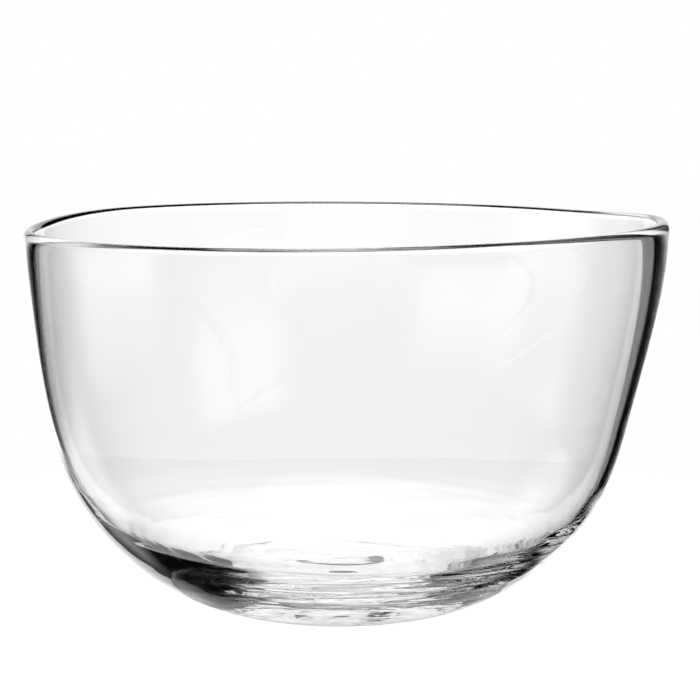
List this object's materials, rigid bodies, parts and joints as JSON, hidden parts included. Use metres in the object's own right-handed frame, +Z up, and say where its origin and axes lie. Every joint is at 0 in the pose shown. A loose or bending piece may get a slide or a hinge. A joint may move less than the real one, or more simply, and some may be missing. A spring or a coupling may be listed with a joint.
{
  "type": "punch bowl",
  "caption": "Deep round punch bowl of thick clear blown glass, with a full rounded base, a ground foot, a polished hollow under it and a rounded lip.",
  "frame": {"origin": "on the plane that the bowl stands on, straight under the middle of the mouth", "axes": "+Z up out of the mouth, +X toward the side where the lip stands a little higher"},
  "size_m": [0.305, 0.305, 0.1861],
  "materials": {
    "clear_glass": "clear, fire-polished"
  },
  "bodies": {
    "root": {"bowl": "clear_glass"}
  },
  "joints": []
}
